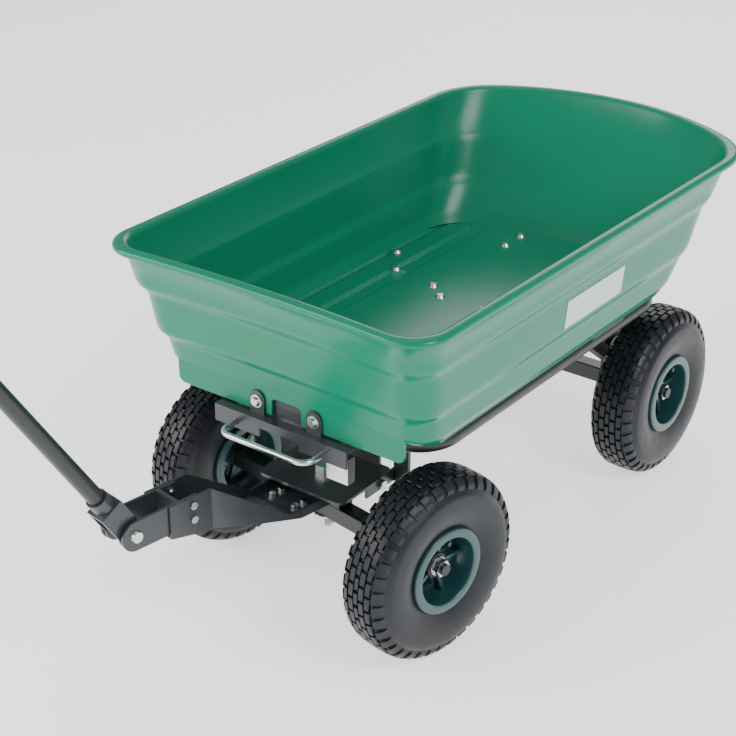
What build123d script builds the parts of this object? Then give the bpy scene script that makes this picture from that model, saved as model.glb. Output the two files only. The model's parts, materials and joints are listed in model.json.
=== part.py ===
"""Garden dump cart towed by hand or by a small tractor.

Frame: +Z up, the cart's front faces -Y, the kingpin stands on the Z axis and the tyres rest on z = 0.
The steering group is modelled turned by `steer_deg`, and the handle raised by `handle_deg`.
"""

import os

from build123d import *

os.makedirs("parts", exist_ok=True)

# ---- driving dimensions (mm) ------------------------------------------------------------------
wheelbase = 562.0
front_half_track = 195.0
rear_half_track = 187.0
steer_deg = -9.0
handle_deg = 58.0

tyre_radius = 130.0
tyre_half_width = 40.0
tyre_wall = 7.0
tread_half_width = 27.0
bead_radius = 51.0
bead_half_width = 31.0
flange_radius = 60.0
flange_thick = 6.0
rim_wall = 4.0
web_thick = 7.0
spoke_count = 5
spoke_width = 11.0
hub_radius = 17.0
hub_half_length = 14.0
bush_radius = 13.0
bush_length = 10.0
bush_flange = 2.0
axle_radius = 8.0
axle_beam = 25.0
washer_radius = 13.0
washer_thick = 2.0
nut_radius = 12.0
nut_height = 9.0
valve_radius = 3.2
valve_length = 24.0

tub_half_width = 260.0
tub_front = -148.0
tub_back = 770.0
tub_depth = 196.0
rim_lip_height = 11.0
tub_wall = 4.0
label_y = 297.0
label_length = 148.0
label_height = 42.0
label_thick = 0.8
rear_bow = 100.0
rim_dish = 12.0
base_bow = 45.0
front_corner = 52.0
rear_corner = 118.0

apron_front = -78.0
apron_thick = 5.0
apron_back = -50.0
apron_half_width = 186.0
notch_half_width = 25.0
notch_height = 25.0

rail_radius = 12.5
rail_wall = 1.5
rail_half_spacing = 188.0
rail_above_axle = 172.0
hoop_front = -30.0
hoop_bend = 55.0
hoop_overhang = 2.0
hinge_overhang = 42.0

leg_width = 24.0
leg_depth = 6.0
front_leg_y = 60.0
rear_leg_x = 117.0
brace_width = 18.0
front_member_y = 68.0
member_height = 20.0
member_width = 25.0

bolster_above_axle = 52.0
bolster_half_x = 72.0
bolster_half_y = 58.0
bolster_plate = 4.0
bolster_flange = 18.0
kingpin_radius = 9.0
kingpin_head_radius = 14.0
disc_radius = 46.0
disc_thick = 3.0

hinge_ear_x = 92.0
hinge_pin_radius = 6.0
hinge_pin_head = 10.0
hinge_ear_thick = 5.0
hinge_ear_radius = 14.0
hinge_strap_x = 67.0
hinge_strap_width = 30.0
strap_thick = 3.0

bracket_half_width = 109.0
bracket_front = -94.0
bracket_drop = 25.0
bracket_sheet = 3.0
bracket_notch = 33.0
ear_x = 47.0
ear_width = 24.0
ear_bolt_radius = 4.0
bolt_radius = 3.0
bail_radius = 4.0
bail_half_width = 72.0
bail_front = -129.0
bail_bend = 18.0
bail_tip = -40.0
collar_thick = 3.0
collar_radius = 9.0
keeper_y = -47.0
catch_x = 92.0
catch_width = 34.0
catch_drop = 24.0

tongue_reach = 280.0
tongue_back_half = 45.0
tongue_lift = 19.4
tongue_sheet = 3.0
clevis_pin_s = 329.8
clevis_above_axle = 103.5
clevis_back = 235.0
clevis_radius = 20.0
clevis_plate = 4.0
clevis_gap = 38.0
pin_radius = 6.0
pin_head_radius = 8.5

yoke_plate = 4.0
yoke_radius = 21.0
yoke_gap = 24.0
yoke_length = 52.0
tube_radius = 11.0
tube_wall = 1.5
handle_length = 770.0
tube_start = 30.0
fork_gap = 20.0
fork_plate = 5.0
fork_width = 30.0
fork_length = 66.0
tow_bore_radius = 8.2
grip_radius = 9.0
grip_half_width = 55.0
grip_reach = 140.0
grip_pivot_back = 88.0
grip_pin_radius = 5.0
grip_boss_radius = 12.0

# ---- named clearances -------------------------------------------------------------------------
running = 0.05
free_gap = 0.3
bolt_gap = 0.25
weld_gap = 0.1

# ---- derived places ---------------------------------------------------------------------------
rail_top = tyre_radius + rail_above_axle
bolster_top = tyre_radius + bolster_above_axle
clevis_pin_z = tyre_radius + clevis_above_axle
rim_top = rail_top + tub_depth
hoop_back = wheelbase - hoop_overhang
hinge_y = hoop_back + hinge_overhang
hinge_z = rail_top - 20
hinge_bolt_ys = (hoop_back - 24, hoop_back + 20)
mid_member_y = wheelbase - 160
brace_foot_z = tyre_radius + 28
apron_bottom = rail_top - 11
apron_top = rail_top + 33
ear_top = rail_top + 20
ear_bolt_z = rail_top + 5
bail_z = rail_top - 2 * rail_radius - 2.5
STEER = Location((0, 0, 0), (0, 0, steer_deg))
PIN_PLACE = STEER * Location((0, -clevis_pin_s, clevis_pin_z))
HANDLE = PIN_PLACE * Location((0, 0, 0), (90 - handle_deg, 0, 0))
rail_z = rail_top - rail_radius
bracket_top = rail_z
beam_top = tyre_radius + axle_beam / 2
disc_z = bolster_top - bolster_plate
hub_face = hub_half_length + bush_flange
stub_end = hub_face + washer_thick + nut_height + 5
strap_top = rail_top + free_gap + strap_thick
tub_base = strap_top + weld_gap
tub_floor = tub_base + tub_wall
fork_base = handle_length - fork_length

WHEELS = {
    "front_left": STEER * Location((front_half_track, 0, tyre_radius)),
    "front_right": STEER * Location((-front_half_track, 0, tyre_radius), (0, 0, 180)),
    "rear_left": Location((rear_half_track, wheelbase, tyre_radius)),
    "rear_right": Location((-rear_half_track, wheelbase, tyre_radius), (0, 0, 180)),
}


def save(builder, label):
    """Label a finished sub-part and write it as its own STEP file."""
    builder.part.label = label
    export_step(builder.part, f"parts/{label}.step")


def placed(place, plane):
    """A plane given in a group's own frame, carried to where that group stands."""
    return Plane(place * plane.location)


def steered(plane):
    """A plane of the straight-ahead steering group, turned with it."""
    return placed(STEER, plane)


def on_handle(plane):
    """A plane of the handle's own frame: X along the clevis pin, Z along the tube."""
    return placed(HANDLE, plane)


# ---- wheels: tyre, rim, bushes, valve ---------------------------------------------------------
# Each wheel is revolved about its own axle: sketches lie in a plane whose local X is the axle,
# pointing outward, and local Y is the radius.
def wheel_plane(place):
    return placed(place, Plane(origin=(0, 0, 0), x_dir=(1, 0, 0), z_dir=(0, -1, 0)))


def make_tyre(place, label):
    plane = wheel_plane(place)
    axle = Axis(plane.origin, plane.x_dir)
    bulge_radius = (tyre_radius + bead_radius) / 2 + 2
    inner = tyre_wall
    with BuildPart() as tyre:
        with BuildSketch(plane):
            with BuildLine():
                right = [
                    (bead_half_width, bead_radius),
                    (bead_half_width, flange_radius + 1),
                    (tyre_half_width, bulge_radius),
                    (tread_half_width, tyre_radius - 5),
                    (0, tyre_radius),
                ]
                left = [(-x, y) for x, y in reversed(right[:-1])]
                Polyline(right[:2])
                Spline(right[1], right[2], right[3], tangents=[(0.35, 1), (-1, 1)])
                ThreePointArc(right[3], right[4], left[0])
                Spline(left[0], left[1], left[2], tangents=[(-1, -1), (0.35, -1)])
                Polyline([left[2], left[3]])
                Line(left[3], right[0])
            make_face()
            with BuildLine():
                low = bead_radius + inner
                wide = bead_half_width - inner
                Polyline(
                    [
                        (-wide, low),
                        (wide, low),
                        (tyre_half_width - inner, bulge_radius),
                        (tread_half_width - 3, tyre_radius - 5 - inner),
                        (3 - tread_half_width, tyre_radius - 5 - inner),
                        (inner - tyre_half_width, bulge_radius),
                        (-wide, low),
                    ]
                )
            make_face(mode=Mode.SUBTRACT)
        revolve(axis=axle)
    save(tyre, label)


def make_rim(place, label):
    """Spoked rim: a trough barrel with two flanges, a hub and spokes on a thin web."""
    plane = wheel_plane(place)
    axle = Axis(plane.origin, plane.x_dir)
    seat = bead_radius - free_gap / 3
    side = bead_half_width + free_gap / 3
    edge = side + flange_thick
    face = placed(place, Plane.YZ)
    with BuildPart() as rim:
        with BuildSketch(plane):
            with BuildLine():
                Polyline(
                    [
                        (-edge, seat - rim_wall),
                        (edge, seat - rim_wall),
                        (edge, flange_radius),
                        (side, flange_radius),
                        (side, seat),
                        (-side, seat),
                        (-side, flange_radius),
                        (-edge, flange_radius),
                        (-edge, seat - rim_wall),
                    ]
                )
            make_face()
        revolve(axis=axle)
        with BuildSketch(face.offset(-web_thick / 2)):
            Circle(seat - rim_wall / 2)
        extrude(amount=web_thick)
        with BuildSketch(face.offset(-web_thick)):
            with PolarLocations((hub_radius + seat - rim_wall) / 2, spoke_count):
                Rectangle(seat - rim_wall - hub_radius + 3, spoke_width)
        extrude(amount=2 * web_thick + 6)
        with BuildSketch(face.offset(-hub_half_length)):
            Circle(hub_radius)
        extrude(amount=2 * hub_half_length)
        with BuildSketch(face.offset(-web_thick)):
            with PolarLocations((hub_radius + seat - rim_wall) / 2 + 1, spoke_count, start_angle=36):
                Circle(9)
        extrude(amount=2 * web_thick, mode=Mode.SUBTRACT)
        with BuildSketch(face.offset(-hub_half_length - 1)):
            Circle(bush_radius)
        extrude(amount=2 * hub_half_length + 2, mode=Mode.SUBTRACT)
    save(rim, label)


def make_bushes(place, label):
    """Two flanged bushes pressed into the hub's ends."""
    face = placed(place, Plane.YZ)
    with BuildPart() as bushes:
        for side in (1, -1):
            start = face.offset(side * (hub_half_length - bush_length))
            with BuildSketch(start):
                Circle(bush_radius)
                Circle(axle_radius + running, mode=Mode.SUBTRACT)
            extrude(amount=side * bush_length)
            with BuildSketch(face.offset(side * hub_half_length)):
                Circle(hub_radius)
                Circle(axle_radius + running, mode=Mode.SUBTRACT)
            extrude(amount=side * bush_flange)
    save(bushes, label)


def make_valve(place, label):
    """Tyre valve: a short stem that leaves the rim's trough towards the outside."""
    radius = bead_radius - rim_wall - valve_radius - 2
    seat = placed(place, Plane(origin=(web_thick + 6.1, 0, radius), x_dir=(0, 1, 0), z_dir=(1, 0, 0)))
    with BuildPart() as valve:
        with BuildSketch(seat):
            Circle(valve_radius + 1.3)
        extrude(amount=6)
        with BuildSketch(seat):
            Circle(valve_radius)
        extrude(amount=valve_length)
    save(valve, label)


for wheel, wheel_place in WHEELS.items():
    make_tyre(wheel_place, f"{wheel}_tyre")
    make_rim(wheel_place, f"{wheel}_rim")
    make_bushes(wheel_place, f"{wheel}_bushes")
    make_valve(wheel_place, f"{wheel}_valve")


# ---- axles and what holds the wheels on -------------------------------------------------------
def make_axle(place, half_track, pin_bore, label):
    """Square beam with a round stub at each end, bored for the kingpin where it has one."""
    shoulder = half_track - hub_face - free_gap
    across = placed(place, Plane.YZ)
    with BuildPart() as axle:
        with BuildSketch(across.offset(-shoulder)):
            RectangleRounded(axle_beam, axle_beam, 2)
        extrude(amount=2 * shoulder)
        with BuildSketch(across.offset(-half_track - stub_end)):
            Circle(axle_radius)
        extrude(amount=2 * (half_track + stub_end))
        if pin_bore:
            with BuildSketch(placed(place, Plane.XY.offset(-axle_beam))):
                Circle(pin_bore)
            extrude(amount=2 * axle_beam, mode=Mode.SUBTRACT)
    save(axle, label)


def make_axle_fasteners(place, half_track, label):
    """A washer and a lock nut on each stub."""
    with BuildPart() as fasteners:
        for side in (1, -1):
            start = half_track + hub_face + free_gap
            with BuildSketch(placed(place, Plane.YZ.offset(side * start))):
                Circle(washer_radius)
                Circle(axle_radius + bolt_gap, mode=Mode.SUBTRACT)
            extrude(amount=side * washer_thick)
            with BuildSketch(placed(place, Plane.YZ.offset(side * (start + washer_thick + weld_gap)))):
                RegularPolygon(nut_radius, 6)
                Circle(axle_radius, mode=Mode.SUBTRACT)
            extrude(amount=side * nut_height)
    save(fasteners, label)


FRONT_AXLE = STEER * Location((0, 0, tyre_radius))
REAR_AXLE = Location((0, wheelbase, tyre_radius))
make_axle(FRONT_AXLE, front_half_track, kingpin_radius + running, "front_axle")
make_axle(REAR_AXLE, rear_half_track, 0, "rear_axle")
make_axle_fasteners(FRONT_AXLE, front_half_track, "front_axle_fasteners")
make_axle_fasteners(REAR_AXLE, rear_half_track, "rear_axle_fasteners")


# ---- tub --------------------------------------------------------------------------------------
# Levels from the rim down: height, side inset, front inset, rear inset, rear bow, front dish.
TUB_LEVELS = (
    (rim_top - rim_lip_height, 13.0, 13.0, 13.0, rear_bow, rim_dish),
    (rim_top - 58, 19.0, 24.0, 46.0, 95.0, 11.0),
    (rim_top - 72, 28.0, 37.0, 57.0, 90.0, 10.0),
    (rim_top - 130, 34.0, 48.0, 100.0, 62.0, 7.0),
    (rim_top - 143, 41.0, 61.0, 112.0, 56.0, 5.0),
    (tub_base + 16.6, 46.0, 70.0, 146.0, base_bow, 1.0),
    (tub_base + 10.6, 49.0, 88.0, 150.0, base_bow, 1.0),
    (tub_base, 55.0, 96.0, 157.0, base_bow, 1.0),
)


def tub_outline(height, side, front, back, bow, dish):
    """Closed tub outline at one height: dished front, straight sides, bowed rear, round corners."""
    half = tub_half_width - side
    y_front = tub_front + front
    y_back = tub_back - back
    corner_front = max(front_corner - side / 3, 10)
    corner_back = max(rear_corner - back / 4, 20)
    with BuildSketch(Plane.XY.offset(height)) as outline:
        with BuildLine():
            ThreePointArc((-half, y_front), (0, y_front + dish), (half, y_front))
            Line((half, y_front), (half, y_back - bow))
            ThreePointArc((half, y_back - bow), (0, y_back), (-half, y_back - bow))
            Line((-half, y_back - bow), (-half, y_front))
        made = make_face()
        corners = made.vertices().group_by(Axis.Y)
        fillet(corners[0], corner_front)
        fillet(corners[-1], corner_back)
    return outline.sketch


with BuildPart() as tub:
    loft([tub_outline(*level) for level in TUB_LEVELS], ruled=True)
    extrude(tub_outline(rim_top - rim_lip_height, 0, 0, 0, rear_bow, rim_dish), amount=rim_lip_height)
    with BuildSketch(Plane.YZ.offset(-apron_half_width)):
        with BuildLine():
            Polyline(
                [
                    (apron_front, apron_top),
                    (apron_front, apron_bottom),
                    (apron_front + apron_thick, apron_bottom),
                    (apron_front + apron_thick, apron_bottom + 27),
                    (apron_back, apron_bottom + 35),
                    (apron_back, apron_top),
                    (apron_front, apron_top),
                ]
            )
        make_face()
    extrude(amount=2 * apron_half_width)
    with BuildSketch(Plane.XZ.offset(-apron_front - apron_thick / 2)):
        with Locations((0, apron_bottom)):
            RectangleRounded(2 * notch_half_width, 2 * notch_height, 8)
    extrude(amount=apron_thick, both=True, mode=Mode.SUBTRACT)
with BuildPart() as tub_cavity:
    inner = [
        tub_outline(height + tub_wall, side + tub_wall, front + tub_wall, back + tub_wall, *curves)
        for height, side, front, back, *curves in TUB_LEVELS
    ]
    loft(inner, ruled=True)
    extrude(inner[0], amount=rim_lip_height)

FLOOR_RIVETS = [(185 * s, mid_member_y + 11) for s in (1, -1)]
FLOOR_BOLTS = [(x * s, mid_member_y - back) for x, back in ((148, 42), (68, 58), (38, 83)) for s in (1, -1)]
HINGE_BOLTS = [(hinge_strap_x * s, y) for y in hinge_bolt_ys for s in (1, -1)]
EAR_BOLTS = [(ear_x * s, ear_bolt_z) for s in (1, -1)]

with BuildPart() as tub_shell:
    add(tub.part)
    add(tub_cavity.part, mode=Mode.SUBTRACT)
    with BuildSketch(Plane.XY.offset(tub_base - 2)):
        with Locations(*FLOOR_RIVETS, *FLOOR_BOLTS, *HINGE_BOLTS):
            Circle(bolt_radius + bolt_gap)
    extrude(amount=2 * tub_wall + 4, mode=Mode.SUBTRACT)
    with BuildSketch(Plane.XZ.offset(-apron_front - apron_thick - 2)):
        with Locations(*EAR_BOLTS):
            Circle(ear_bolt_radius + bolt_gap)
    extrude(amount=apron_thick + 4, mode=Mode.SUBTRACT)
save(tub_shell, "tub")

with BuildPart() as label_plate:
    # A blank plate lies against the left wall between the ledges, near the rear.
    lean = (TUB_LEVELS[3][1] - TUB_LEVELS[2][1]) / (TUB_LEVELS[2][0] - TUB_LEVELS[3][0])
    mid_z = (TUB_LEVELS[2][0] + TUB_LEVELS[3][0]) / 2 - 4
    wall_x = tub_half_width - (TUB_LEVELS[2][1] + TUB_LEVELS[3][1]) / 2 - 4 * lean
    plate = Plane(origin=(wall_x + 0.1, label_y, mid_z), x_dir=(0, 1, 0), z_dir=(1, 0, -lean))
    with BuildSketch(plate):
        RectangleRounded(label_length, label_height, 2)
    extrude(amount=label_thick)
save(label_plate, "label_plate")

# ---- straps, bolts and hinge under the tub ----------------------------------------------------
with BuildPart() as floor_strap:
    with BuildSketch(Plane.XY.offset(rail_top + free_gap)):
        with BuildLine():
            rear, flank, nose = mid_member_y + 33, mid_member_y - 62, mid_member_y - 102
            left = [(-205, rear), (-205, flank), (-90, nose)]
            right = [(-x, y) for x, y in reversed(left)]
            Polyline(left + right + left[:1])
        make_face()
        fillet(vertices(), 10)
        with Locations(*FLOOR_RIVETS, *FLOOR_BOLTS):
            Circle(bolt_radius + bolt_gap, mode=Mode.SUBTRACT)
    extrude(amount=strap_thick)
save(floor_strap, "floor_strap")


def dome_bolts(nutted, flush, grip, label):
    """Dome heads on the tub floor: bolts with a nut under the strap, and flush-ended rivets."""
    with BuildPart() as bolts:
        for x, y in nutted + flush:
            has_nut = (x, y) in nutted
            with BuildSketch(Plane.XY.offset(tub_floor)):
                with Locations((x, y)):
                    Circle(8)
            extrude(amount=4.5, taper=35)
            with BuildSketch(Plane.XY.offset(tub_floor)):
                with Locations((x, y)):
                    Circle(bolt_radius)
            extrude(amount=-grip - (6 if has_nut else 0))
            if has_nut:
                with BuildSketch(Plane.XY.offset(tub_floor - grip)):
                    with Locations((x, y)):
                        RegularPolygon(5.5, 6)
                extrude(amount=-4)
    save(bolts, label)


dome_bolts(FLOOR_BOLTS, FLOOR_RIVETS, tub_floor - rail_top - free_gap, "floor_bolts")
dome_bolts(HINGE_BOLTS, [], tub_floor - rail_top - free_gap, "hinge_bolts")

with BuildPart() as tub_hinge_straps:
    for side in (1, -1):
        with BuildSketch(Plane.XY.offset(strap_top)):
            with Locations((side * hinge_strap_x, (hinge_bolt_ys[0] + hinge_y) / 2)):
                Rectangle(hinge_strap_width, hinge_y - hinge_bolt_ys[0] + 26)
            with Locations(*[(side * hinge_strap_x, y) for y in hinge_bolt_ys]):
                Circle(bolt_radius + bolt_gap, mode=Mode.SUBTRACT)
        extrude(amount=-strap_thick)
        ear_start = side * (hinge_strap_x + hinge_strap_width / 2 - hinge_ear_thick)
        with BuildSketch(Plane.YZ.offset(ear_start)):
            with Locations((hinge_y, hinge_z)):
                Circle(hinge_ear_radius)
            with Locations((hinge_y, (hinge_z + strap_top) / 2)):
                Rectangle(2 * hinge_ear_radius, strap_top - hinge_z)
            with Locations((hinge_y, hinge_z)):
                Circle(hinge_pin_radius + running, mode=Mode.SUBTRACT)
        extrude(amount=side * hinge_ear_thick)
save(tub_hinge_straps, "tub_hinge_straps")

with BuildPart() as hinge_ears:
    for side in (1, -1):
        with BuildSketch(Plane.YZ.offset(side * hinge_ear_x)):
            with Locations((hinge_y, hinge_z)):
                Circle(hinge_ear_radius)
            with Locations(((hoop_back + rail_radius + hinge_y) / 2, hinge_z)):
                Rectangle(hinge_y - hoop_back - rail_radius, 20)
            with Locations((hoop_back, rail_z)):
                Circle(rail_radius + free_gap / 3, mode=Mode.SUBTRACT)
            with Locations((hinge_y, hinge_z)):
                Circle(hinge_pin_radius, mode=Mode.SUBTRACT)
        extrude(amount=side * hinge_ear_thick)
save(hinge_ears, "hinge_ears")

with BuildPart() as hinge_pin:
    pin_half = hinge_ear_x + hinge_ear_thick + 4
    with BuildSketch(Plane.YZ.offset(-pin_half)):
        with Locations((hinge_y, hinge_z)):
            Circle(hinge_pin_radius)
    extrude(amount=2 * pin_half)
    for side in (1, -1):
        with BuildSketch(Plane.YZ.offset(side * (hinge_ear_x + hinge_ear_thick + 0.1))):
            with Locations((hinge_y, hinge_z)):
                Circle(hinge_pin_head)
        extrude(amount=side * 4)
save(hinge_pin, "hinge_pin")

# ---- chassis ----------------------------------------------------------------------------------
with BuildPart() as hoop:
    with BuildSketch(Plane.XY.offset(rail_z), mode=Mode.PRIVATE) as hoop_plan:
        with Locations((0, (hoop_front + hoop_back) / 2)):
            RectangleRounded(2 * rail_half_spacing, hoop_back - hoop_front, hoop_bend)
    hoop_path = hoop_plan.sketch.face().outer_wire()
    with BuildSketch(Plane(origin=hoop_path @ 0, z_dir=hoop_path % 0)):
        Circle(rail_radius)
        Circle(rail_radius - rail_wall, mode=Mode.SUBTRACT)
    sweep(path=hoop_path)
save(hoop, "chassis_hoop")

with BuildPart() as cross_members:
    for y in (front_member_y, mid_member_y):
        with BuildSketch(Plane.YZ.offset(-rail_half_spacing)):
            with Locations((y, rail_top - 1 - member_height / 2)):
                Rectangle(member_width, member_height)
        extrude(amount=2 * rail_half_spacing)
    with BuildSketch(Plane.XZ):
        with Locations((rail_half_spacing, rail_z), (-rail_half_spacing, rail_z)):
            Circle(rail_radius + weld_gap)
    extrude(amount=-wheelbase, mode=Mode.SUBTRACT)
save(cross_members, "cross_members")

member_bottom = rail_top - 1 - member_height
leg_foot = bolster_top - bolster_flange
knee_z = bolster_top + 43
with BuildPart() as front_legs:
    for side in (1, -1):
        with BuildSketch(Plane.XZ.offset(-front_leg_y - leg_depth / 2)):
            with BuildLine():
                x0 = side * (bolster_half_x + weld_gap)
                x1 = x0 + side * leg_width
                x2 = side * 150
                bottom = member_bottom - weld_gap
                Polyline(
                    [
                        (x0, leg_foot),
                        (x1, leg_foot),
                        (x1, knee_z),
                        (x2, bottom),
                        (x2 - side * 2 * leg_width, bottom),
                        (x0, knee_z),
                        (x0, leg_foot),
                    ]
                )
            make_face()
        extrude(amount=leg_depth)
save(front_legs, "front_legs")

with BuildPart() as bolster:
    with BuildSketch(Plane.XY.offset(bolster_top - bolster_plate)):
        RectangleRounded(2 * bolster_half_x, 2 * bolster_half_y, 12)
    extrude(amount=bolster_plate)
    for side in (1, -1):
        with BuildSketch(Plane.XZ.offset(-front_leg_y - leg_depth)):
            with Locations((side * (bolster_half_x - bolster_plate / 2), bolster_top - bolster_flange / 2)):
                Rectangle(bolster_plate, bolster_flange)
        extrude(amount=front_leg_y + leg_depth + 2)
    with BuildSketch(Plane.XZ.offset(-bolster_half_y + bolster_plate)):
        with Locations((0, bolster_top + 20)):
            Rectangle(1.4 * bolster_half_x, 44)
    extrude(amount=-bolster_plate)
    with BuildSketch(Plane.XY.offset(bolster_top + 4)):
        Circle(kingpin_radius)
    extrude(amount=-bolster_plate - 8, mode=Mode.SUBTRACT)
save(bolster, "front_bolster")

with BuildPart() as turntable_disc:
    with BuildSketch(Plane.XY.offset(disc_z - free_gap / 3)):
        Circle(disc_radius)
        Circle(kingpin_radius + bolt_gap, mode=Mode.SUBTRACT)
    extrude(amount=-disc_thick)
save(turntable_disc, "turntable_disc")

with BuildPart() as kingpin:
    with BuildSketch(Plane.XY.offset(bolster_top + weld_gap)):
        RegularPolygon(kingpin_head_radius, 6)
    extrude(amount=10)
    with BuildSketch(Plane.XY.offset(bolster_top + 5)):
        Circle(kingpin_radius)
    extrude(amount=-(bolster_top + 5) + tyre_radius - axle_beam / 2 - 20)
save(kingpin, "kingpin")

with BuildPart() as kingpin_nut:
    nut_top = tyre_radius - axle_beam / 2 - free_gap
    with BuildSketch(Plane.XY.offset(nut_top)):
        Circle(16)
        Circle(kingpin_radius, mode=Mode.SUBTRACT)
    extrude(amount=-2.5)
    with BuildSketch(Plane.XY.offset(nut_top - 2.5)):
        RegularPolygon(kingpin_head_radius, 6)
        Circle(kingpin_radius, mode=Mode.SUBTRACT)
    extrude(amount=-12)
save(kingpin_nut, "kingpin_nut")

with BuildPart() as bolster_bolts:
    for side in (1, -1):
        with BuildSketch(Plane.YZ.offset(side * (bolster_half_x + weld_gap))):
            with Locations((30, bolster_top - 11)):
                RegularPolygon(7, 6)
        extrude(amount=side * 5)
save(bolster_bolts, "bolster_bolts")

with BuildPart() as rear_legs:
    for side in (1, -1):
        low = tyre_radius + axle_beam / 2 + weld_gap
        high = rail_top - 2 * rail_radius - weld_gap
        with BuildSketch(Plane.XY.offset(low)):
            with Locations((side * rear_leg_x, wheelbase)):
                Rectangle(21, 25)
        extrude(amount=high - low)
save(rear_legs, "rear_legs")

with BuildPart() as braces:
    for side in (1, -1):
        foot_y = wheelbase - 12.5 - weld_gap
        top_z = member_bottom - weld_gap
        with BuildSketch(Plane.YZ.offset(side * rear_leg_x - 10)):
            with BuildLine():
                Polyline(
                    [
                        (foot_y, brace_foot_z),
                        (foot_y, brace_foot_z + 1.4 * brace_width),
                        (mid_member_y + 12, top_z),
                        (mid_member_y - 12, top_z),
                        (foot_y, brace_foot_z),
                    ]
                )
            make_face()
        extrude(amount=20)
save(braces, "diagonal_braces")

with BuildPart() as keeper:
    with BuildSketch(Plane.XZ.offset(-keeper_y)):
        with Locations((0, bail_z + 6)):
            Rectangle(2 * bail_half_width + 34, 34)
        with Locations((bail_half_width, bail_z), (-bail_half_width, bail_z)):
            Circle(bail_radius + running, mode=Mode.SUBTRACT)
    extrude(amount=-4)
    with BuildSketch(Plane.YZ.offset(-bail_half_width - 17)):
        with Locations((keeper_y + 6, bail_z + 21)):
            Rectangle(12, 4)
    extrude(amount=2 * bail_half_width + 34)
    with BuildSketch(Plane.YZ.offset(-bail_half_width - 18)):
        with Locations((hoop_front, rail_z)):
            Circle(rail_radius + weld_gap)
    extrude(amount=2 * bail_half_width + 36, mode=Mode.SUBTRACT)
save(keeper, "latch_keeper")

# ---- latch on the tub's apron -----------------------------------------------------------------
apron_seat = apron_front - free_gap / 3
with BuildPart() as latch_bracket:
    with BuildSketch(Plane.XY.offset(bracket_top)):
        with Locations((0, (bracket_front + apron_seat) / 2)):
            Rectangle(2 * bracket_half_width, apron_seat - bracket_front)
    extrude(amount=-bracket_sheet)
    with BuildSketch(Plane.XZ.offset(-bracket_front)):
        with Locations((0, bracket_top - bracket_drop / 2)):
            Rectangle(2 * bracket_half_width, bracket_drop)
        with Locations((0, bracket_top - bracket_drop)):
            Rectangle(2 * bracket_notch, bracket_drop, mode=Mode.SUBTRACT)
        with Locations((bail_half_width, bail_z), (-bail_half_width, bail_z)):
            Circle(bail_radius + running, mode=Mode.SUBTRACT)
    extrude(amount=-bracket_sheet)
    for side in (1, -1):
        with BuildSketch(Plane.XZ.offset(-apron_seat)):
            with Locations((side * ear_x, (bracket_top + ear_top - ear_width / 2) / 2)):
                Rectangle(ear_width, ear_top - ear_width / 2 - bracket_top + 2)
            with Locations((side * ear_x, ear_top - ear_width / 2)):
                Circle(ear_width / 2)
            with Locations((side * ear_x, ear_bolt_z)):
                Circle(ear_bolt_radius + bolt_gap, mode=Mode.SUBTRACT)
        extrude(amount=bracket_sheet)
save(latch_bracket, "latch_bracket")

guide_front = apron_front + apron_thick + free_gap / 3
with BuildPart() as bail_guide:
    with BuildSketch(Plane.XZ.offset(-guide_front)):
        with Locations((0, rail_top - 13)):
            RectangleRounded(2 * bail_half_width + 30, 50, 6)
        with Locations((bail_half_width, bail_z), (-bail_half_width, bail_z)):
            Circle(bail_radius + running, mode=Mode.SUBTRACT)
        with Locations(*EAR_BOLTS):
            Circle(ear_bolt_radius + bolt_gap, mode=Mode.SUBTRACT)
    extrude(amount=-bracket_sheet)
save(bail_guide, "bail_guide")

with BuildPart() as ear_bolts:
    head_back = apron_seat - bracket_sheet
    nut_front = guide_front + bracket_sheet
    for side in (1, -1):
        with BuildSketch(Plane.XZ.offset(-head_back)):
            with Locations((side * ear_x, ear_bolt_z)):
                Circle(9)
        extrude(amount=1.6)
        with BuildSketch(Plane.XZ.offset(-head_back + 1.6)):
            with Locations((side * ear_x, ear_bolt_z)):
                Circle(7)
        extrude(amount=4.4, taper=25)
        with BuildSketch(Plane.XZ.offset(-head_back)):
            with Locations((side * ear_x, ear_bolt_z)):
                Circle(ear_bolt_radius)
        extrude(amount=-(nut_front - head_back) - 5)
        with BuildSketch(Plane.XZ.offset(-nut_front)):
            with Locations((side * ear_x, ear_bolt_z)):
                RegularPolygon(7.5, 6)
        extrude(amount=-4)
save(ear_bolts, "ear_bolts")

with BuildPart() as catch_plate:
    low = bracket_top - bracket_drop
    with BuildSketch(Plane.XZ.offset(-bracket_front - bracket_sheet - 0.1)):
        with Locations((catch_x, low - catch_drop / 2 + 6)):
            Rectangle(catch_width, catch_drop + 12)
        with Locations((bail_half_width, bail_z)):
            Circle(bail_radius + 4, mode=Mode.SUBTRACT)
    extrude(amount=-2)
    with BuildSketch(Plane.YZ.offset(catch_x + catch_width / 2)):
        with Locations((bracket_front + bracket_sheet + 7, low - catch_drop / 2 + 6)):
            Rectangle(14, catch_drop + 12)
    extrude(amount=-2)
save(catch_plate, "catch_plate")

with BuildPart() as bail:
    with BuildLine() as bail_path:
        w = bail_half_width
        points = [(-w, bail_tip), (-w, bail_front), (w, bail_front), (w, bail_tip)]
        FilletPolyline([(x, y, bail_z) for x, y in points], radius=bail_bend)
    with BuildSketch(Plane(origin=(-w, bail_tip, bail_z), x_dir=(1, 0, 0), z_dir=(0, -1, 0))):
        Circle(bail_radius)
    sweep(path=bail_path.wire())
save(bail, "bail")

with BuildPart() as bail_collars:
    for side in (1, -1):
        with BuildSketch(Plane.XZ.offset(-guide_front + free_gap)):
            with Locations((side * bail_half_width, bail_z)):
                Circle(collar_radius)
                Circle(bail_radius, mode=Mode.SUBTRACT)
        extrude(amount=collar_thick)
save(bail_collars, "bail_collars")

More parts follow.
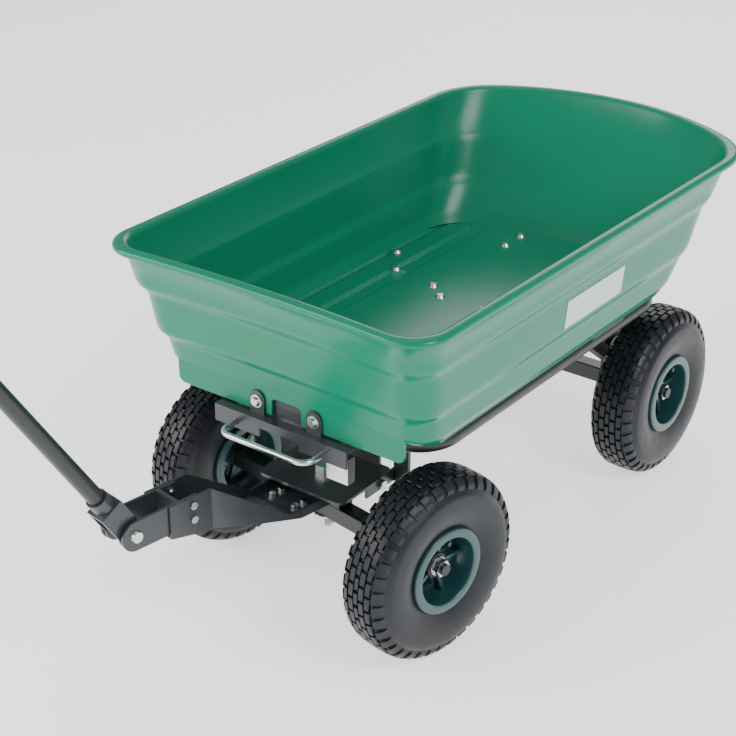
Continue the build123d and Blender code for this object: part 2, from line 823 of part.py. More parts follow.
# ---- tongue and clevis ------------------------------------------------------------------------
clevis_half = clevis_gap / 2 + clevis_plate
tongue_front_half = clevis_half + weld_gap + tongue_sheet
block_seat = beam_top + weld_gap
tongue_seat = block_seat + tongue_lift + weld_gap
mouth_floor = clevis_pin_z - 34.5
mouth_top = clevis_pin_z + 20.5
flange_low = disc_z - disc_thick - 1
tongue_floor = [
    (45, tongue_seat),
    (-85, tongue_seat),
    (-160, tongue_seat + 0.48 * (mouth_floor - tongue_seat)),
    (-215, mouth_floor - 3),
    (-240, mouth_floor),
    (-tongue_reach, mouth_floor + 9),
]
flange_top = [(-tongue_reach, mouth_top), (-215, mouth_top), (-100, flange_low), (45, flange_low)]
channel_top = mouth_top + 60


def tongue_solid(bottom, ceiling, shrink):
    """A block in the tongue's plan outline between a bent floor line and a ceiling line."""
    front = tongue_front_half - shrink
    back = tongue_back_half - shrink
    half = [(back, 60), (back, -80), (front, -215), (front, -tongue_reach - 5)]
    with BuildPart() as block:
        with BuildSketch(steered(Plane.XY.offset(tyre_radius))):
            with BuildLine():
                Polyline(half + [(-x, y) for x, y in reversed(half)] + half[:1])
            make_face()
        extrude(amount=channel_top - tyre_radius)
        with BuildSketch(steered(Plane.YZ.offset(-tongue_back_half - 5))):
            with BuildLine():
                Polyline(bottom + ceiling + bottom[:1])
            make_face()
        extrude(amount=2 * tongue_back_half + 10, mode=Mode.INTERSECT)
    return block.part


CLEVIS_BOLTS = [(-clevis_back - 10, clevis_pin_z + rise) for rise in (10, -10)]
FLOOR_PLATE_BOLTS = [(22 * side, -y) for side in (1, -1) for y in (58, 74)]
with BuildPart() as tongue:
    add(tongue_solid(tongue_floor, flange_top, 0))
    lifted = [(y, z + tongue_sheet) for y, z in tongue_floor]
    lifted[0] = (60, lifted[0][1])
    lifted[-1] = (-tongue_reach - 10, lifted[-1][1] + tongue_sheet / 2)
    roof = [(-tongue_reach - 10, channel_top - 6), (60, channel_top - 6)]
    add(tongue_solid(lifted, roof, tongue_sheet), mode=Mode.SUBTRACT)
    with BuildSketch(steered(Plane.XY.offset(tongue_seat - 1))):
        Circle(kingpin_radius + bolt_gap)
    extrude(amount=tongue_sheet + 2, mode=Mode.SUBTRACT)
    with BuildSketch(steered(Plane.YZ.offset(-tongue_back_half))):
        with Locations(*CLEVIS_BOLTS):
            Circle(bolt_radius + bolt_gap)
    extrude(amount=2 * tongue_back_half, mode=Mode.SUBTRACT)
save(tongue, "tongue")

with BuildPart() as axle_block:
    with BuildSketch(steered(Plane.XY.offset(block_seat))):
        Rectangle(2 * tongue_back_half - 10, axle_beam)
        Circle(kingpin_radius + bolt_gap, mode=Mode.SUBTRACT)
    extrude(amount=tongue_lift)
save(axle_block, "axle_block")

with BuildPart() as turntable_base:
    low = tongue_seat + tongue_sheet + weld_gap
    high = disc_z - free_gap - disc_thick
    with BuildSketch(Plane.XY.offset(low)):
        Circle(disc_radius - 8)
        Circle(kingpin_radius + bolt_gap, mode=Mode.SUBTRACT)
    extrude(amount=high - low)
save(turntable_base, "turntable_base")

# The clevis: two plates joined by a web, between the flanges of the tongue's mouth.
with BuildPart() as tongue_clevis:
    for side in (1, -1):
        with BuildSketch(steered(Plane.YZ.offset(side * clevis_gap / 2))):
            with Locations((-clevis_pin_s, clevis_pin_z)):
                Circle(clevis_radius)
            with Locations((-(clevis_pin_s + clevis_back) / 2, clevis_pin_z)):
                Rectangle(clevis_pin_s - clevis_back, 2 * clevis_radius)
            with Locations((-clevis_pin_s, clevis_pin_z)):
                Circle(pin_radius, mode=Mode.SUBTRACT)
            with Locations(*CLEVIS_BOLTS):
                Circle(bolt_radius + bolt_gap, mode=Mode.SUBTRACT)
        extrude(amount=side * clevis_plate)
    with BuildSketch(steered(Plane.YZ.offset(-clevis_gap / 2))):
        with Locations((-clevis_back - 28, clevis_pin_z)):
            Rectangle(5, 2 * clevis_radius)
    extrude(amount=clevis_gap)
save(tongue_clevis, "tongue_clevis")

with BuildPart() as tongue_bolts:
    # Four join the clevis to the flanges, each with its nut inside the clevis.
    head_face = tongue_front_half + weld_gap / 2
    nut_face = clevis_gap / 2 - weld_gap / 2
    for side in (1, -1):
        with BuildSketch(steered(Plane.YZ.offset(side * head_face))):
            with Locations(*CLEVIS_BOLTS):
                RegularPolygon(5.5, 6)
        extrude(amount=side * 4)
        with BuildSketch(steered(Plane.YZ.offset(side * head_face))):
            with Locations(*CLEVIS_BOLTS):
                Circle(bolt_radius)
        extrude(amount=-side * (head_face - nut_face + 6))
        with BuildSketch(steered(Plane.YZ.offset(side * nut_face))):
            with Locations(*CLEVIS_BOLTS):
                RegularPolygon(5.5, 6)
        extrude(amount=-side * 4)
    # Four stand on the tongue's floor ahead of the turntable.
    with BuildSketch(steered(Plane.XY.offset(tongue_seat + tongue_sheet + weld_gap / 2))):
        with Locations(*FLOOR_PLATE_BOLTS):
            RegularPolygon(5.5, 6)
    extrude(amount=4)
save(tongue_bolts, "tongue_bolts")

with BuildPart() as clevis_pin:
    with BuildSketch(steered(Plane.YZ.offset(-clevis_half - 10))):
        with Locations((-clevis_pin_s, clevis_pin_z)):
            Circle(pin_radius)
    extrude(amount=2 * clevis_half + 10 + weld_gap)
    with BuildSketch(steered(Plane.YZ.offset(clevis_half + weld_gap))):
        with Locations((-clevis_pin_s, clevis_pin_z)):
            Circle(pin_head_radius)
    extrude(amount=4, taper=20)
save(clevis_pin, "clevis_pin")

with BuildPart() as clevis_pin_nut:
    with BuildSketch(steered(Plane.YZ.offset(-clevis_half - weld_gap))):
        with Locations((-clevis_pin_s, clevis_pin_z)):
            RegularPolygon(9.5, 6)
            Circle(pin_radius, mode=Mode.SUBTRACT)
    extrude(amount=-6)
save(clevis_pin_nut, "clevis_pin_nut")

# ---- handle -----------------------------------------------------------------------------------
yoke_half = yoke_gap / 2 + yoke_plate
with BuildPart() as handle_yoke:
    for side in (1, -1):
        with BuildSketch(on_handle(Plane.YZ.offset(side * yoke_gap / 2))):
            Circle(yoke_radius - 2)
            with Locations((0, yoke_length / 2)):
                Rectangle(2 * yoke_radius - 8, yoke_length)
            Circle(pin_radius + running, mode=Mode.SUBTRACT)
        extrude(amount=side * yoke_plate)
    with BuildSketch(on_handle(Plane.XY.offset(yoke_length - 4))):
        Rectangle(2 * yoke_half, 2 * yoke_radius - 8)
        Circle(tube_radius, mode=Mode.SUBTRACT)
    extrude(amount=4)
    with BuildSketch(on_handle(Plane.XY.offset(yoke_length - 1))):
        Circle(tube_radius + 3)
        Circle(tube_radius, mode=Mode.SUBTRACT)
    extrude(amount=20)
save(handle_yoke, "handle_yoke")

with BuildPart() as handle_tube:
    with BuildSketch(on_handle(Plane.XY.offset(tube_start))):
        Circle(tube_radius)
        Circle(tube_radius - tube_wall, mode=Mode.SUBTRACT)
    extrude(amount=fork_base - tube_start)
save(handle_tube, "handle_tube")

fork_half = fork_gap / 2 + fork_plate
with BuildPart() as tow_fork:
    with BuildSketch(on_handle(Plane.XY.offset(fork_base - 30))):
        Circle(tube_radius - tube_wall - free_gap / 3)
    extrude(amount=31)
    with BuildSketch(on_handle(Plane.XY.offset(fork_base + 0.1))):
        Rectangle(fork_width, 2 * fork_half)
    extrude(amount=6)
    for side in (1, -1):
        with BuildSketch(on_handle(Plane.XZ.offset(side * fork_gap / 2))):
            with Locations((0, fork_base + fork_length / 2 - 8)):
                Rectangle(fork_width, fork_length - 16)
            with Locations((0, fork_base + fork_length - 16)):
                Circle(fork_width / 2)
            with Locations((0, fork_base + fork_length - 18)):
                Circle(tow_bore_radius, mode=Mode.SUBTRACT)
        extrude(amount=side * fork_plate)
save(tow_fork, "tow_fork")

grip_pivot_z = fork_base - grip_pivot_back / 2
with BuildPart() as grip_lug:
    with BuildSketch(on_handle(Plane.YZ.offset(-18))):
        with Locations((0, grip_pivot_z)):
            Circle(grip_boss_radius + 4)
    extrude(amount=36)
    with BuildSketch(on_handle(Plane.XY.offset(grip_pivot_z - 30))):
        Circle(tube_radius + weld_gap)
    extrude(amount=60, mode=Mode.SUBTRACT)
    with BuildSketch(on_handle(Plane.YZ.offset(-20))):
        with Locations((0, grip_pivot_z)):
            Circle(grip_pin_radius)
    extrude(amount=40, mode=Mode.SUBTRACT)
save(grip_lug, "grip_lug")

with BuildPart() as grip_pins:
    for side in (1, -1):
        with BuildSketch(on_handle(Plane.YZ.offset(side * (tube_radius + 0.5)))):
            with Locations((0, grip_pivot_z)):
                Circle(grip_pin_radius)
        extrude(amount=side * 22)
        with BuildSketch(on_handle(Plane.YZ.offset(side * (tube_radius + 20.2)))):
            with Locations((0, grip_pivot_z)):
                Circle(grip_pin_radius + 2.5)
        extrude(amount=side * 3)
save(grip_pins, "grip_pins")

grip_bar_z = fork_base + grip_reach
with BuildPart() as grip:
    for side in (1, -1):
        with BuildSketch(on_handle(Plane.YZ.offset(side * (18 + free_gap)))):
            with Locations((0, grip_pivot_z)):
                Circle(grip_boss_radius)
                Circle(grip_pin_radius + running, mode=Mode.SUBTRACT)
        extrude(amount=side * 12)
    with BuildLine() as grip_path:
        w = grip_half_width
        inner_x = 26
        xz = [
            (-inner_x, grip_pivot_z + 13),
            (-w, grip_pivot_z + 55),
            (-w, grip_bar_z),
            (w, grip_bar_z),
            (w, grip_pivot_z + 55),
            (inner_x, grip_pivot_z + 13),
        ]
        path = FilletPolyline([(HANDLE * Location((x, 0, z))).position for x, z in xz], radius=22)
    with BuildSketch(Plane(origin=path @ 0, z_dir=path % 0)):
        Circle(grip_radius)
    sweep(path=grip_path.wire())
    with BuildSketch(on_handle(Plane.YZ.offset(-40))):
        with Locations((0, grip_pivot_z)):
            Circle(grip_pin_radius + running)
    extrude(amount=80, mode=Mode.SUBTRACT)
save(grip, "grip")
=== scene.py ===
"""Garden dump cart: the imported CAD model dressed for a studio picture.

Mesh sizes are in millimetres in the cart's own frame, and become metres in new_piece().
Wheels are built in a frame of their own. Lamp and camera places are in metres.
"""

import json
import math

import bmesh
import bpy
from mathutils import Matrix, Vector


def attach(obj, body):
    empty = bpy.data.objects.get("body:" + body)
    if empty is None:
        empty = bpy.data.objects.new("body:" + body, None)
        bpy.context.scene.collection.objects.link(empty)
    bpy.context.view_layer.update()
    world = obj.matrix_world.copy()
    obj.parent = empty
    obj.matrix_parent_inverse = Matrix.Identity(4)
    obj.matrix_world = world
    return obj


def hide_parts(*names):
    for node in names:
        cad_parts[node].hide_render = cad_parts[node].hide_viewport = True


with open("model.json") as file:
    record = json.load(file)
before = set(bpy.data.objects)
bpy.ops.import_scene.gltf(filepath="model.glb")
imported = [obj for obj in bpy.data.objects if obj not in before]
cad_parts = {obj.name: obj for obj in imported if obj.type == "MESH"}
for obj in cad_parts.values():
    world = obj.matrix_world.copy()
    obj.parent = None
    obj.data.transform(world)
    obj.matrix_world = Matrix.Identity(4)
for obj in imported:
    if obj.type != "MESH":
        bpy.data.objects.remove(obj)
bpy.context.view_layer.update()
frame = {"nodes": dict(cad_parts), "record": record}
MM = 0.001
PER_METRE = 1000
WHEELS = ("front_left", "front_right", "rear_left", "rear_right")


# ---- materials --------------------------------------------------------------------------------
COAT_ROUGHNESS = 0.12
GRAIN_DEPTH = 0.0004
BEVEL_SAMPLES = 4


def finish(name, colour, rough, metal=0.0, mottle=0.06, mottle_scale=9.0, grain=0.1, grain_scale=900.0,
           rough_spread=0.08, coat=0.0, specular=0.5, edge=0.0):
    """A procedural surface: mottled colour, uneven roughness, fine grain and softened edges."""
    made = bpy.data.materials.new(name)
    made.use_nodes = True
    nodes, links = made.node_tree.nodes, made.node_tree.links
    shader = nodes["Principled BSDF"]
    shader.inputs["Metallic"].default_value = metal
    shader.inputs["Coat Weight"].default_value = coat
    shader.inputs["Coat Roughness"].default_value = COAT_ROUGHNESS
    shader.inputs["Specular IOR Level"].default_value = specular
    place = nodes.new("ShaderNodeTexCoord").outputs["Object"]

    cloud = nodes.new("ShaderNodeTexNoise")
    cloud.inputs["Scale"].default_value = mottle_scale
    cloud.inputs["Detail"].default_value = 5.0
    links.new(place, cloud.inputs["Vector"])
    ramp = nodes.new("ShaderNodeValToRGB")
    ramp.color_ramp.elements[0].position = 0.3
    ramp.color_ramp.elements[1].position = 0.7
    ramp.color_ramp.elements[0].color = [c * (1 - mottle) for c in colour] + [1]
    ramp.color_ramp.elements[1].color = [min(1, c * (1 + mottle)) for c in colour] + [1]
    links.new(cloud.outputs["Fac"], ramp.inputs["Fac"])
    links.new(ramp.outputs["Color"], shader.inputs["Base Color"])

    speck = nodes.new("ShaderNodeTexNoise")
    speck.inputs["Scale"].default_value = grain_scale
    speck.inputs["Detail"].default_value = 3.0
    links.new(place, speck.inputs["Vector"])
    smear = nodes.new("ShaderNodeTexNoise")
    smear.inputs["Scale"].default_value = mottle_scale * 4
    smear.inputs["Detail"].default_value = 4.0
    links.new(place, smear.inputs["Vector"])
    spread = nodes.new("ShaderNodeMapRange")
    spread.inputs["To Min"].default_value = max(rough - rough_spread, 0.03)
    spread.inputs["To Max"].default_value = min(rough + rough_spread, 1.0)
    links.new(smear.outputs["Fac"], spread.inputs["Value"])
    links.new(spread.outputs["Result"], shader.inputs["Roughness"])

    bump = nodes.new("ShaderNodeBump")
    bump.inputs["Strength"].default_value = grain
    bump.inputs["Distance"].default_value = GRAIN_DEPTH
    links.new(speck.outputs["Fac"], bump.inputs["Height"])
    if edge:
        rounding = nodes.new("ShaderNodeBevel")
        rounding.samples = BEVEL_SAMPLES
        rounding.inputs["Radius"].default_value = edge
        links.new(rounding.outputs["Normal"], bump.inputs["Normal"])
    links.new(bump.outputs["Normal"], shader.inputs["Normal"])
    return made


tub_green = finish("tub_polyethylene", (0.003, 0.200, 0.108), 0.23, mottle=0.05, mottle_scale=5,
                   grain=0.1, grain_scale=1400, rough_spread=0.05, specular=0.28)
frame_black = finish("black_powder_coat", (0.0075, 0.011, 0.012), 0.38, mottle=0.2, grain=0.3,
                     grain_scale=1100, edge=0.0012, coat=0.1)
bracket_grey = finish("grey_powder_coat", (0.030, 0.034, 0.040), 0.32, mottle=0.15, grain=0.25,
                      grain_scale=1100, edge=0.001, coat=0.2)
rim_teal = finish("teal_paint", (0.012, 0.058, 0.064), 0.3, mottle=0.1, grain=0.15, grain_scale=1200,
                  coat=0.3)
tyre_rubber = finish("tyre_rubber", (0.010, 0.012, 0.016), 0.38, mottle=0.22, mottle_scale=16, grain=0.5,
                     grain_scale=700, rough_spread=0.14, specular=0.35)
zinc = finish("zinc_plate", (0.62, 0.64, 0.65), 0.24, metal=1.0, mottle=0.08, mottle_scale=60, grain=0.15,
              grain_scale=1500, edge=0.0006)
nylon = finish("black_nylon", (0.012, 0.012, 0.013), 0.45, mottle=0.15, grain=0.2)
grip_rubber = finish("grip_rubber", (0.012, 0.013, 0.014), 0.6, mottle=0.2, grain=0.6, grain_scale=500)
label_white = finish("label_vinyl", (0.62, 0.68, 0.69), 0.35, mottle=0.03, grain=0.05)

LOOKS = {
    "tub_poly": tub_green,
    "frame_black": frame_black,
    "steel_grey": bracket_grey,
    "rim_paint": rim_teal,
    "tyre": tyre_rubber,
    "zinc": zinc,
    "bush_plastic": nylon,
    "valve_rubber": nylon,
    "grip_rubber": grip_rubber,
    "label_blank": label_white,
}
for part in frame["record"]["subparts"]:
    cad = frame["nodes"][part["node"]]
    for place in cad.material_slots:
        place.material = LOOKS[part["material_slot"]]


# ---- mesh helpers -----------------------------------------------------------------------------
def new_piece(name, points, faces, look, body, smooth=True):
    """A mesh object from points in millimetres, riding on a body."""
    mesh = bpy.data.meshes.new(name)
    mesh.from_pydata([Vector(p) * MM for p in points], [], faces)
    mesh.validate()
    checked = bmesh.new()
    checked.from_mesh(mesh)
    bmesh.ops.recalc_face_normals(checked, faces=checked.faces)
    checked.to_mesh(mesh)
    checked.free()
    mesh.polygons.foreach_set("use_smooth", [smooth] * len(mesh.polygons))
    mesh.materials.append(look)
    made = bpy.data.objects.new(name, mesh)
    bpy.context.scene.collection.objects.link(made)
    if body:
        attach(made, body)
    return made


def grid_faces(rows, columns, closed=False, start=0):
    """Quads between rows of points that are columns long; closed joins each row's ends."""
    faces = []
    for r in range(rows - 1):
        for c in range(columns if closed else columns - 1):
            n = (c + 1) % columns
            faces.append((start + r * columns + c, start + r * columns + n,
                          start + (r + 1) * columns + n, start + (r + 1) * columns + c))
    return faces


def smoothstep(a, b, x):
    t = min(max((x - a) / (b - a), 0), 1)
    return t * t * (3 - 2 * t)


EASE_REACH, EASE_STEPS = 0.2, 4


def eased(stations):
    """Rounds the inner corners of a list of tuples: each becomes a short curve."""
    made = [stations[0]]
    for before, here, after in zip(stations, stations[1:], stations[2:]):
        a = [h + (b - h) * EASE_REACH for h, b in zip(here, before)]
        c = [h + (n - h) * EASE_REACH for h, n in zip(here, after)]
        for k in range(EASE_STEPS + 1):
            t = k / EASE_STEPS
            first, second, third = (1 - t) ** 2, 2 * t * (1 - t), t * t
            made.append(tuple(first * p + second * q + third * s for p, q, s in zip(a, here, c)))
    made.append(stations[-1])
    return made


# ---- tub --------------------------------------------------------------------------------------
HALF_WIDTH, FRONT, BACK = 260.0, -148.0, 770.0
RIM_DISH, RIM_BOW = 12.0, 100.0
BASE, WALL = 305.4, 4.0
FRONT_CORNER, REAR_CORNER = 52.0, 118.0
SIDE_STEPS, REAR_STEPS, FRONT_CORNER_STEPS, REAR_CORNER_STEPS = 30, 40, 12, 14


def arc(centre, radius, start, end, count):
    """Points on an arc, without its last one."""
    return [(centre[0] + radius * math.cos(start + (end - start) * k / count),
             centre[1] + radius * math.sin(start + (end - start) * k / count)) for k in range(count)]


def tub_ring(side, front, back, bow, dish):
    """The tub's outline at one height: dished front, straight sides, bowed rear, round corners."""
    half = HALF_WIDTH - side
    y_front, y_back = FRONT + front, BACK - back
    r_front = max(FRONT_CORNER - side / 3, 10)
    r_back = max(REAR_CORNER - back / 4, 20)
    big_front = (half * half + dish * dish) / (2 * dish)
    front_centre = y_front + dish - big_front
    big_back = (half * half + bow * bow) / (2 * bow)
    back_centre = y_back - big_back
    y_low = front_centre + math.sqrt((big_front + r_front) ** 2 - (half - r_front) ** 2)
    y_high = back_centre + math.sqrt((big_back - r_back) ** 2 - (half - r_back) ** 2)
    lean_front = math.atan2(half - r_front, y_low - front_centre)
    lean_back = math.atan2(half - r_back, y_high - back_centre)
    quarter = math.pi / 2
    steps = range(SIDE_STEPS)
    points = arc((0, front_centre), big_front, quarter + lean_front, quarter - lean_front, SIDE_STEPS)
    points += arc((half - r_front, y_low), r_front, -quarter - lean_front, 0, FRONT_CORNER_STEPS)
    points += [(half, y_low + (y_high - y_low) * k / SIDE_STEPS) for k in steps]
    points += arc((half - r_back, y_high), r_back, 0, quarter - lean_back, REAR_CORNER_STEPS)
    points += arc((0, back_centre), big_back, quarter - lean_back, quarter + lean_back, REAR_STEPS)
    points += arc((r_back - half, y_high), r_back, quarter + lean_back, math.pi, REAR_CORNER_STEPS)
    points += [(-half, y_high + (y_low - y_high) * k / SIDE_STEPS) for k in steps]
    last_turn = 1.5 * math.pi + lean_front
    points += arc((r_front - half, y_low), r_front, math.pi, last_turn, FRONT_CORNER_STEPS)
    return points


# Height, side inset, front inset, rear inset, rear bow and front dish, from the base up.
WALL_LINE = [
    (BASE, 55.0, 96.0, 157.0, 45.0, 1.0),
    (316.0, 49.0, 88.0, 150.0, 45.0, 1.0),
    (322.0, 46.0, 70.0, 146.0, 45.0, 1.0),
    (355.0, 41.0, 61.0, 112.0, 56.0, 5.0),
    (368.0, 34.0, 48.0, 100.0, 62.0, 7.0),
    (426.0, 28.0, 37.0, 57.0, 90.0, 10.0),
    (440.0, 19.0, 24.0, 46.0, 95.0, 11.0),
    (485.0, 13.0, 13.0, 13.0, RIM_BOW, RIM_DISH),
]
# Height and inset of the rolled rim, from its underside over the top to its inner edge.
LIP_LINE = [(486.6, 10.0), (487.0, 4.0), (487.6, 1.6), (489.5, 0.2), (492.0, 0.0), (494.6, 0.7), (496.6, 2.6),
            (497.7, 5.4), (498.0, 8.6), (497.6, 11.8), (496.3, 14.4), (494.0, 16.2), (491.0, 17.0)]


def tub_levels():
    """Every level of the wall: up the outside, over the rim and down the inside."""
    outer = eased(WALL_LINE)
    lip = [(z, inset, inset, inset, RIM_BOW, RIM_DISH) for z, inset in LIP_LINE]
    inner = [(z + WALL, s + WALL, f + WALL, b + WALL, *curves) for z, s, f, b, *curves in reversed(WALL_LINE)]
    return outer + lip + eased(inner[1:])


levels = tub_levels()
rings = [tub_ring(*level[1:]) for level in levels]
around = len(rings[0])
tub_points = [(x, y, level[0]) for level, ring in zip(levels, rings) for x, y in ring]
tub_faces = grid_faces(len(rings), around, closed=True)
tub_faces.append(tuple(range(around)))
tub_walls = new_piece("tub_walls", tub_points, tub_faces, tub_green, "tub")
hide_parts("tub")

# The floor is a grid between the front and rear edges, with two long channels on each side and a
# flat pad round each bolt.
FLOOR = BASE + WALL
FLOOR_HALF, FLOOR_FRONT, FLOOR_BACK, FLOOR_BOW = 203.0, -50.0, 618.0, 45.0
FLOOR_CORNERS = ((34.0, 1), (79.0, -1))
FLOOR_COLUMNS, FLOOR_ROWS = 201, 220
CHANNELS = ((124.0, 156.0, 3.3), (186.0, 201.0, 2.6))
CHANNEL_ENDS = (0.0, 565.0)
CHANNEL_FLANK, CHANNEL_RAMP = 6, 14
PAD_RADIUS, PAD_EDGE = 11, 15
BOLTS = ((185, 413), (148, 360), (68, 344), (38, 319), (67, 536), (67, 580))
bolt_spots = [(x * s, y) for x, y in BOLTS for s in (1, -1)]


def floor_height(x, y):
    """The floor's height, lower in the channels but not at the bolts' pads."""
    depth = 0.0
    for start, end, deep in CHANNELS:
        across = smoothstep(start, start + CHANNEL_FLANK, abs(x))
        across -= smoothstep(end - CHANNEL_FLANK, end, abs(x))
        along = smoothstep(CHANNEL_ENDS[0], CHANNEL_ENDS[0] + CHANNEL_RAMP, y)
        along -= smoothstep(CHANNEL_ENDS[1] - CHANNEL_RAMP, CHANNEL_ENDS[1], y)
        depth += deep * max(across, 0) * max(along, 0)
    nearest = min(math.hypot(x - bx, y - by) for bx, by in bolt_spots)
    return FLOOR - depth * smoothstep(PAD_RADIUS, PAD_EDGE, nearest)


def floor_edge(x):
    """Front and rear y of the floor at x."""
    low = FLOOR_FRONT
    big = (FLOOR_HALF ** 2 + FLOOR_BOW ** 2) / (2 * FLOOR_BOW)
    high = FLOOR_BACK - big + math.sqrt(big * big - x * x)
    for corner, sign in FLOOR_CORNERS:
        into = abs(x) - (FLOOR_HALF - corner)
        if into > 0:
            cut = corner - math.sqrt(max(corner * corner - into * into, 0))
            if sign > 0:
                low += cut
            else:
                high -= cut
    return low, high


floor_points = []
for column in range(FLOOR_COLUMNS):
    x = -FLOOR_HALF + 2 * FLOOR_HALF * column / (FLOOR_COLUMNS - 1)
    low, high = floor_edge(x)
    for k in range(FLOOR_ROWS):
        y = low + (high - low) * k / (FLOOR_ROWS - 1)
        floor_points.append((x, y, floor_height(x, y)))
tub_floor = new_piece("tub_floor", floor_points, grid_faces(FLOOR_COLUMNS, FLOOR_ROWS), tub_green, "tub")

# The skirt hangs from the front wall and takes the latch bracket.
SKIRT_HALF, SKIRT_FRONT, SKIRT_THICK = 186.0, -78.0, 5.0
SKIRT_BACK, SKIRT_LOW, SKIRT_HIGH = -50.0, 291.0, 334.0
SKIRT_ROUND, SKIRT_STEP = 10.0, 0.5
RIB_LOW, RIB_HIGH = 318.0, 326.0
NOTCH_HALF, NOTCH_TOP, NOTCH_ROUND = 25.0, 316.0, 8.0
NOTCH_SIDE = 0.05


def skirt_low(x):
    """The skirt's lower edge at x, rounded at its ends and in the notch's corners."""
    if abs(x) < NOTCH_HALF - NOTCH_SIDE:
        into = max(abs(x) - (NOTCH_HALF - NOTCH_ROUND), 0)
        return NOTCH_TOP - NOTCH_ROUND + math.sqrt(NOTCH_ROUND ** 2 - into ** 2)
    end = max(abs(x) - (SKIRT_HALF - SKIRT_ROUND), 0)
    return SKIRT_LOW + SKIRT_ROUND - math.sqrt(SKIRT_ROUND ** 2 - end ** 2)


def skirt_section(x):
    """The skirt's closed outline at x as (y, z): down the front, round its lower edge and up the back."""
    low = skirt_low(x)
    back = SKIRT_FRONT + SKIRT_THICK
    front_line = [(SKIRT_BACK, SKIRT_HIGH), (SKIRT_FRONT, SKIRT_HIGH), (SKIRT_FRONT, low + 1.2)]
    lower_edge = [(SKIRT_FRONT + 0.4, low + 0.35), (SKIRT_FRONT + 1.2, low), (back - 1.2, low)]
    return front_line + lower_edge + [(back, low + 1.2), (back, RIB_LOW), (SKIRT_BACK, RIB_HIGH)]


skirt_stations = [-SKIRT_HALF + k * SKIRT_STEP for k in range(int(2 * SKIRT_HALF / SKIRT_STEP) + 1)]
skirt_points = [(x, y, z) for x in skirt_stations for y, z in skirt_section(x)]
corners = len(skirt_section(0))
skirt_faces = grid_faces(len(skirt_stations), corners, closed=True)
skirt_faces += [tuple(range(corners)), tuple(range(len(skirt_points) - corners, len(skirt_points)))]
tub_skirt = new_piece("tub_skirt", skirt_points, skirt_faces, tub_green, "tub", smooth=False)

# ---- wheels -----------------------------------------------------------------------------------
# Built once in a wheel's own frame: X is the axle, pointing outward.
TYRE_R, BEAD_HALF = 130.0, 31.0
TREAD_REACH, GROOVE, CROWN_STEPS = 36.5, 4.0, 12
TYRE_SEGMENTS, RIM_SEGMENTS = 160, 96


def lathe(points, faces, profile, segments):
    """Adds a ring with a closed section of (x, radius) pairs, turned about the X axis."""
    start = len(points)
    turns = [2 * math.pi * k / segments for k in range(segments)]
    points += [(x, r * math.cos(a), r * math.sin(a)) for x, r in profile for a in turns]
    faces += grid_faces(len(profile), segments, closed=True, start=start)
    last = start + (len(profile) - 1) * segments
    for k in range(segments):
        n = (k + 1) % segments
        faces.append((start + k, start + n, last + n, last + k))


def crown(s):
    """The tread's surface: s from -1 to 1 across it gives (x, radius)."""
    bend = abs(s)
    x = TREAD_REACH * s * (1 - 0.06 * bend ** 2)
    return x, TYRE_R - 1.2 * bend ** 2 - 13.0 * bend ** 5


side_profile = [(31.0, 53.0), (31.3, 59.0), (33.5, 64.0), (36.8, 72.0), (38.9, 80.0), (39.8, 88.0),
                (39.9, 95.0), (39.2, 102.0), (38.2, 107.5)]
crown_profile = []
for k in range(CROWN_STEPS, -CROWN_STEPS - 1, -1):
    crown_x, crown_r = crown(k / CROWN_STEPS)
    crown_profile.append((crown_x * 0.985, crown_r - GROOVE))
tyre_profile = side_profile + crown_profile + [(-x, r) for x, r in reversed(side_profile)]
tyre_profile += [(-BEAD_HALF, 51.5), (BEAD_HALF, 51.5)]
tyre_points, tyre_faces = [], []
lathe(tyre_points, tyre_faces, tyre_profile, TYRE_SEGMENTS)

# A tread block's layers: how deep each lies under the crown, and its share of the block's size.
BLOCK_LAYERS = ((GROOVE + 1.0, 1.0), (0.7, 0.97), (0.0, 0.9))
BLOCK_CELLS = 3


def add_block(points, faces, across, angles):
    """One raised tread block between two places across the tread and two angles."""
    s0, s1 = across
    a0, a1 = angles
    cells = BLOCK_CELLS
    first = len(points)
    for depth, share in BLOCK_LAYERS:
        for i in range(cells + 1):
            for j in range(cells + 1):
                u = (i / cells - 0.5) * share + 0.5
                v = (j / cells - 0.5) * share + 0.5
                x, r = crown(s0 + (s1 - s0) * u)
                a = a0 + (a1 - a0) * v
                points.append((x, (r - depth) * math.cos(a), (r - depth) * math.sin(a)))
    side = cells + 1
    # The layer's outline, once round.
    edge = [i * side for i in range(side)] + [(side - 1) * side + j for j in range(1, side)]
    edge += [i * side + side - 1 for i in range(side - 2, -1, -1)] + [j for j in range(side - 2, 0, -1)]
    for layer in range(2):
        low, high = first + layer * side * side, first + (layer + 1) * side * side
        for k, here in enumerate(edge):
            there = edge[(k + 1) % len(edge)]
            faces.append((low + here, low + there, high + there, high + here))
    top = first + 2 * side * side
    for i in range(cells):
        for j in range(cells):
            faces.append((top + i * side + j, top + (i + 1) * side + j, top + (i + 1) * side + j + 1,
                          top + i * side + j + 1))


# Seven rows of blocks: their places across the tread, share of the pitch filled, and offset.
PITCHES = 38
BLOCK_ROWS = (
    (-0.98, -0.70, 0.62, 0.0),
    (-0.62, -0.42, 0.84, 0.5),
    (-0.36, -0.13, 0.86, 0.0),
    (-0.09, 0.09, 0.8, 0.5),
    (0.13, 0.36, 0.86, 0.0),
    (0.42, 0.62, 0.84, 0.5),
    (0.70, 0.98, 0.62, 0.0),
)
pitch = 2 * math.pi / PITCHES
for s0, s1, fill, offset in BLOCK_ROWS:
    for k in range(PITCHES):
        start = (k + offset) * pitch
        add_block(tyre_points, tyre_faces, (s0, s1), (start, start + pitch * fill))

